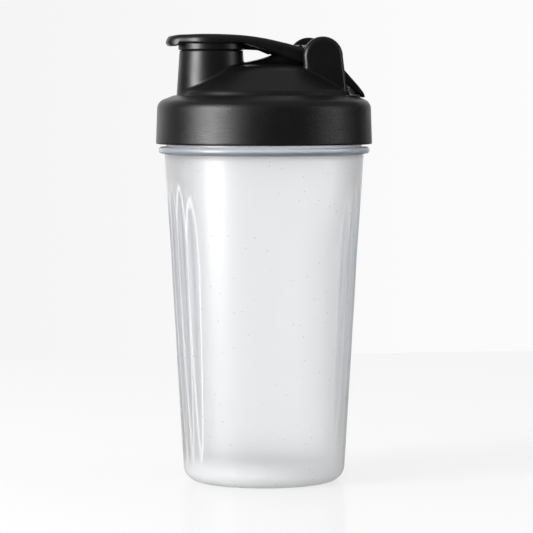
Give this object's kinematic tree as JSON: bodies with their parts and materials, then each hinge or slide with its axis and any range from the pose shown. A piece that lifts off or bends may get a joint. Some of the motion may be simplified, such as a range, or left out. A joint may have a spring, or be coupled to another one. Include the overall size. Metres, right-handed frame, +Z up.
{
  "type": "protein shaker bottle",
  "caption": "Shaker bottle: frosted fluted cup, black screw lid with drinking spout, hinged flip cap and carry loop, snap-in mixing grid and seals.",
  "frame": {"origin": "centre of the cup's base, on the surface it stands on", "axes": "+Z up along the bottle's axis; -X towards the spout; +X towards the hinge; the hinge pin lies along Y"},
  "size_m": [0.0948, 0.0948, 0.196],
  "materials": {
    "frosted_cup": "frosted see-through polypropylene",
    "black_plastic": "fine satin moulding texture",
    "grid_plastic": "satin",
    "seal_rubber": "soft translucent silicone",
    "pin_steel": "drawn wire"
  },
  "bodies": {
    "cup_body": {"cup": "frosted_cup"},
    "gasket_body": {"lid_gasket": "seal_rubber"},
    "lid_body": {"lid": "black_plastic", "mixing_grid": "grid_plastic", "hinge_pin": "pin_steel"},
    "cap_body": {"flip_cap": "black_plastic", "spout_seal": "seal_rubber"},
    "loop_body": {"carry_loop": "black_plastic"}
  },
  "joints": [
    {"name": "lid_lift", "type": "slide", "parent": "cup_body", "child": "gasket_body", "axis": [0, 0, 1], "range_m": [0, 0.024]},
    {"name": "lid_turn", "type": "hinge", "parent": "gasket_body", "child": "lid_body", "pos_m": [0, 0, 0.156], "axis": [0, 0, 1], "range_deg": [0, 1080]},
    {"name": "flip_cap_hinge", "type": "hinge", "parent": "lid_body", "child": "cap_body", "pos_m": [0.0226, 0, 0.1863], "axis": [0, 1, 0], "range_deg": [0, 125]},
    {"name": "carry_loop_hinge", "type": "hinge", "parent": "lid_body", "child": "loop_body", "pos_m": [0.0226, 0, 0.1863], "axis": [0, -1, 0], "range_deg": [0, 185]}
  ],
  "couplings": [
    {"joint": "lid_lift", "follows": "lid_turn", "m_per_rad": 0.0012732}
  ]
}
